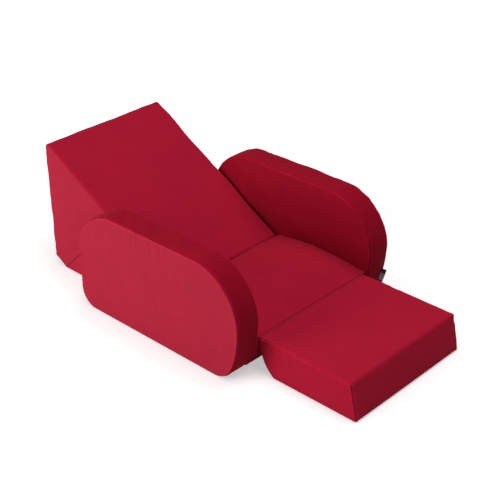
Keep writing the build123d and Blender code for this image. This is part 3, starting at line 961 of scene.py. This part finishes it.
PUCKERS = {
    "right": ((0.008, 0.213, 0.0032), (0.109, 0.214, 0.0024), (0.082, 0.214, 0.0030), (0.034, 0.213, 0.0030)),
    "left": ((-0.02, 0.216, 0.0010), (0.06, 0.217, 0.0012), (0.115, 0.216, 0.0009)),
}
# Painted shade on each arm's band and inner side, painted sheen on its outer side.
arm.tone = np.where(arm.on_band, BAND_PAINTED_SHADE, np.where(arm.x < ZIP_X, INNER_PAINTED_SHADE, SIDE_PAINTED_SHEEN))
arm_pocket = sole_pocket(ZIP_X, (ZIP_LOW + ZIP_HIGH) / 2, ZIP_HALF, ARM_POCKET_HALF)
arm_points = {}
for side, seed, mirrored in (("left", 51, False), ("right", 61, True)):
    arm_points[side] = dressed(arm, arm_field(seed, PUCKERS[side]), arm_pocket)
    sewn_cover(f"arm_{side}", arm, arm_points[side], "chair", ("inner", "outer"), mirrored)

# %% [markdown]
# Inside each cover is a block of cream polyurethane foam. Each core is the block's own surface drawn in, with
# fewer points because it is hidden until the zip is opened.

# %% Foam cores
CORE_INSET = 0.0066
foam_look = cloth("cream_foam", (0.82, 0.74, 0.55), 500.0, dye=0.06, bump=0.3, sheen=0.0, by_uv=False)


def core(name, block, body, mirrored):
    """A closed core: every third point of a block's outline, drawn in, swept between drawn-in sides."""
    outline = (block.outline - outward(block.outline) * CORE_INSET)[::3]
    inside = Block(outline, block.middle, block.low + CORE_INSET, block.high - CORE_INSET, step=0.012)
    nodes = [f"{name}_foam"]
    soft_piece(f"{name}_core", inside, inside.points, body, foam_look, nodes, mirrored)


for name, block, body, mirrored in (
    ("leg_rest", leg_rest, "leg_rest", False),
    ("seat", seat, "chair", False),
    ("back", back, "back", False),
    ("arm_left", arm, "chair", False),
    ("arm_right", arm, "chair", True),
):
    core(name, block, body, mirrored)


# %% [markdown]
# The blocks are joined by strips of the cover's own cloth, sewn along their top edges. At rest a strip sinks
# into the gap as a shallow valley; on the real chair that slack lets a block fold right over. Here each strip
# stays as it lies at rest and rides on neither block.

# %% Hinge strips
STRIP_REACH = 0.0052


def valley(name, hinge_y, half_width, sink, body_a, body_b, *nodes):
    """A strip of cloth across a hinge: y runs over the gap, and z dips as a cosine to sink below the top."""
    across = np.linspace(-1, 1, 25)
    x = np.linspace(-half_width, half_width, 90)
    dip = 0.5 + 0.5 * np.cos(math.pi * across)
    grid_x, grid_y = np.meshgrid(x, hinge_y + across * STRIP_REACH)
    top = THICK + 0.0006 - (sink + 0.0003 * wander(grid_x, 0.02, 71)) * dip[:, None]
    upper = np.stack([grid_x, grid_y, top], -1)
    lower = upper - np.array((0, 0, 0.0011))
    mesh = tube_mesh(name, np.concatenate([upper, lower[::-1]]))
    strip = place(name, mesh, tape_cloth)
    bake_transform(strip)
    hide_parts(*nodes)
    print(name, len(mesh.polygons), "faces")


LEG_REST_TAPES = ("leg_rest_hinge_tape", "seat_front_hinge_tape")
BACK_TAPES = ("seat_rear_hinge_tape", "back_hinge_tape")
valley("leg_rest_hinge_strip", LEG_HINGE_Y, 0.1485, 0.0013, "leg_rest", "chair", *LEG_REST_TAPES)
valley("back_hinge_strip", BACK_HINGE_Y, 0.1475, 0.0016, "chair", "back", *BACK_TAPES)

# %% [markdown]
# The tag is a short loop of woven ribbon, folded in two and caught in the arm's front seam.

# %% Tag
TAG_X = 0.2039
TAG_LOW, TAG_HIGH, TAG_REACH = 0.028, 0.064, 0.012
TAG_FIELD_HALF = 0.0085


def folded_ribbon():
    """A ribbon folded back on itself: v goes out on the outer layer, round the fold and back, u goes up."""
    half = 0.00055
    out = np.linspace(-0.003, TAG_REACH - half, 12)
    fold = np.radians(np.linspace(90, -90, 9)[1:-1])
    reach = np.concatenate([out, TAG_REACH - half + half * np.cos(fold), out[::-1]])
    side = np.concatenate([np.full(12, half), half * np.sin(fold), np.full(12, -half)])
    z = np.linspace(TAG_LOW, TAG_HIGH, 22)
    edge = ARM_FRONT + TOE_ARC - np.sqrt(TOE_ARC**2 - (z - BELLY_Z) ** 2)
    curl = 0.0016 * np.clip(reach / TAG_REACH, 0, 1) ** 2
    x = TAG_X + side[:, None] + curl[:, None] * (1 + 0.4 * np.sin(z * 90.0))
    y = edge[None, :] - reach[:, None]
    return np.stack([x, y, np.broadcast_to(z, x.shape)], -1)


def ribbon_look():
    """Navy ribbon with a plain pale field woven into its middle, and fine ribs across."""
    material, tree, shader = new_material("tag_ribbon")
    height = separated(tree, coordinates(tree))["Z"]
    from_middle = calc(tree, "ABSOLUTE", calc(tree, "SUBTRACT", height, (TAG_LOW + TAG_HIGH) / 2))
    field = calc(tree, "LESS_THAN", from_middle, TAG_FIELD_HALF)
    ribs = calc(tree, "SINE", calc(tree, "MULTIPLY", height, 2 * math.pi * 1400))
    navy, pale = (0.012, 0.018, 0.06, 1), (0.55, 0.57, 0.62, 1)
    feed(tree, shader["Base Color"], mixed(tree, field, navy, pale))
    bump_into(tree, shader, ribs, 0.3, 0.0002)
    shader["Roughness"].default_value = 0.6
    return material


tag = place("arm_left_ribbon_tag", tube_mesh("arm_left_ribbon_tag", folded_ribbon()), ribbon_look(), "chair")
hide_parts("arm_left_tag")
print("tag", TAG_HIGH - TAG_LOW, "m tall")

# %% [markdown]
# The seams are sewn from inside, so only glimpses of thread show, sunk in the groove between two panels. Each
# stitch is a small six-sided spindle, and all the stitches of a block are one mesh, placed at once.

# %% Stitches
thread_look = cloth("seam_thread", (0.30, 0.008, 0.024), 2600.0, dye=0.05, roughness=0.7, by_uv=False)
STITCH_PITCH = 0.0034
STITCH_HALF = 0.0012
THREAD_RADIUS = 0.00022


def spindle():
    """Points of a thin six-sided spindle along its first axis, pointed at both ends, and its faces."""
    along = np.array([-0.72, -0.3, 0.3, 0.72])
    girth = np.array([0.45, 1.0, 1.0, 0.45])
    turn = np.radians(np.arange(6) * 60)
    ring = np.stack([np.cos(turn), np.sin(turn)], -1)
    body = np.concatenate([np.column_stack([np.full(6, a), ring * g]) for a, g in zip(along, girth)])
    points = np.concatenate([body, [[-1.0, 0, 0], [1.0, 0, 0]]])
    k = np.arange(6)
    after = (k + 1) % 6
    sides = [np.column_stack([r * 6 + k, r * 6 + after, r * 6 + 6 + after, r * 6 + 6 + k]) for r in range(3)]
    quads = np.concatenate(sides)[:, ::-1]
    ends = np.concatenate(
        [np.column_stack([np.full(6, 24), k, after]), np.column_stack([np.full(6, 25), 18 + after, 18 + k])]
    )[:, ::-1]
    return points, quads, ends


def sampled(spots, travel, rows):
    """Rows of three numbers, read off between their places in travel."""
    return np.column_stack([np.interp(spots, travel, rows[:, k]) for k in range(3)])


def stitches(name, block, points, body, mirrored=False):
    """A stitch at every pitch along both seams of a block, laid in the groove of its finished surface."""
    shape, quads, ends = spindle()
    parts = []
    rim_middle = PANEL_RINGS + RIM_STEPS // 2
    for ring in (rim_middle, points.shape[1] - 1 - rim_middle):
        line, normal = points[:, ring], block.normals[:, ring]
        closed = np.vstack([line, line[:1]])
        travel = np.concatenate([[0], np.cumsum(np.linalg.norm(np.diff(closed, axis=0), axis=1))])
        spots = np.arange(0, travel[-1] - STITCH_PITCH / 2, STITCH_PITCH)
        upward = np.vstack([normal, normal[:1]])
        centre = sampled(spots, travel, closed)
        ahead = sampled(spots + 0.0008, travel, closed) - centre
        ahead /= np.maximum(np.linalg.norm(ahead, axis=1, keepdims=True), 1e-9)
        up = sampled(spots, travel, upward)
        up -= ahead * (up * ahead).sum(1, keepdims=True)
        up /= np.linalg.norm(up, axis=1, keepdims=True)
        across = np.cross(ahead, up)
        basis = np.stack([ahead * STITCH_HALF, across * THREAD_RADIUS, up * THREAD_RADIUS], 1)
        parts.append(centre[:, None] + np.einsum("mk,nkc->nmc", shape, basis))
    cloud = np.concatenate(parts)
    cloud = cloud[cloud[..., 2].min(1) > 0.0006]
    offset = (np.arange(len(cloud)) * len(shape))[:, None, None]
    faces = (offset + quads).reshape(-1, 4).tolist() + (offset + ends).reshape(-1, 3).tolist()
    mesh = bpy.data.meshes.new(name)
    mesh.from_pydata(cloud.reshape(-1, 3), [], faces)
    mesh.shade_smooth()
    if mirrored:
        mirror_in_x(mesh)
    piece = place(name, mesh, thread_look, body)
    print(name, len(cloud), "stitches")


stitches("leg_rest_stitches", leg_rest, leg_rest_points, "leg_rest")
stitches("back_stitches", back, back_points, "back")
for side, mirrored in (("left", False), ("right", True)):
    stitches(f"arm_{side}_stitches", arm, arm_points[side], "chair", mirrored)

# %% [markdown]
# The zips, their sliders and the hook-and-loop strips come straight from the construction model, where their
# shape is exact. They only need finishes: woven tape with moulded nylon teeth, painted metal, and loops.

# %% Zip, slider and strip finishes
def zip_look(name, axis, tape_from, outward_sign):
    """Woven tape where a point lies deeper than tape_from along an axis, and glossy nylon teeth before it."""
    material = cloth(name, (0.20, 0.006, 0.018), 1500.0, dye=0.08, roughness=0.8, by_uv=False)
    tree = material.node_tree
    shader = tree.nodes["Principled BSDF"].inputs
    depth = separated(tree, coordinates(tree))[axis]
    proud = calc(tree, "MULTIPLY", calc(tree, "SUBTRACT", depth, tape_from), outward_sign)
    teeth = calc(tree, "GREATER_THAN", proud, SNUG)
    woven = shader["Base Color"].links[0].from_socket
    feed(tree, shader["Base Color"], mixed(tree, teeth, woven, (0.26, 0.010, 0.030, 1)))
    feed(tree, shader["Roughness"], calc(tree, "MULTIPLY_ADD", teeth, -0.45, 0.8))
    return material


def metal_look():
    """Crimson painted metal, with bare grey showing through in small worn flecks."""
    material, tree, shader = new_material("painted_slider")
    grain = speckle(tree, coordinates(tree), 900.0, 4.0)
    worn = calc(tree, "GREATER_THAN", grain, 0.64)
    painted, bare = (0.30, 0.012, 0.03, 1), (0.42, 0.41, 0.40, 1)
    feed(tree, shader["Base Color"], mixed(tree, worn, painted, bare))
    feed(tree, shader["Metallic"], worn)
    feed(tree, shader["Roughness"], calc(tree, "MULTIPLY_ADD", grain, 0.25, 0.22))
    return material


TAPE_THICK = 0.0008
PILE = (0.10, 0.004, 0.010)
slider_metal = metal_look()
strip_cloth = cloth("hook_and_loop_pile", PILE, 1900.0, dye=0.3, bump=0.8, roughness=0.95, by_uv=False)
finishes = {name: slider_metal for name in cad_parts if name.endswith("_slider")}
finishes |= {name: strip_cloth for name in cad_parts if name.endswith("_strip")}
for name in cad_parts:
    low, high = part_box(name)
    if name == "back_zip":
        finishes[name] = zip_look(f"{name}_finish", "Y", low[1] + TAPE_THICK, 1.0)
    elif name.endswith("_zip"):
        finishes[name] = zip_look(f"{name}_finish", "Z", high[2] - TAPE_THICK, -1.0)
for name, finish in finishes.items():
    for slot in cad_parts[name].material_slots:
        slot.material = finish
print("finished nodes", len(finishes))
